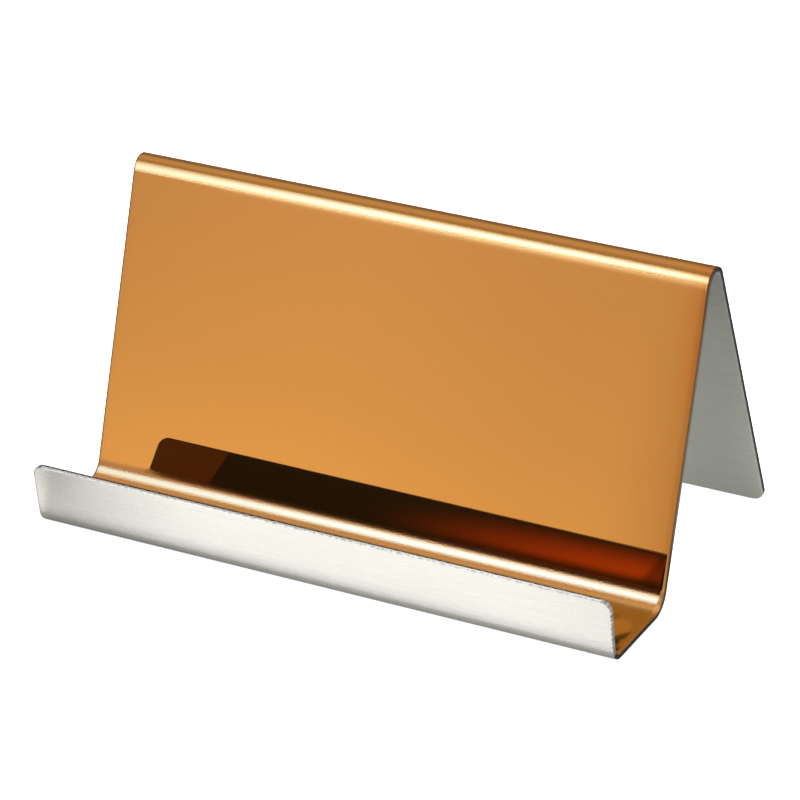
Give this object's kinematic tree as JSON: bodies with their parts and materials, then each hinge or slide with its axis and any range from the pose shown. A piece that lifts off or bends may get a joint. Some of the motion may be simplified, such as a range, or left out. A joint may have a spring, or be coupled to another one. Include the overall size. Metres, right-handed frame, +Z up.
{
  "type": "business card holder stand",
  "caption": "Folded sheet-metal desk stand: a front lip and flat tray hold a stack of business cards against a leaning gold mirror backrest, propped by a rear leg.",
  "frame": {"origin": "on the desk, under the middle of the stand's box", "axes": "+X across the width, to the right as seen from the front; +Y to the back; +Z up"},
  "size_m": [0.095, 0.054, 0.0469],
  "materials": {
    "brushed_steel": "satin",
    "gold_mirror": "polished"
  },
  "bodies": {
    "root": {"steel_sheet": "brushed_steel", "gold_mirror_face": "gold_mirror"}
  },
  "joints": []
}
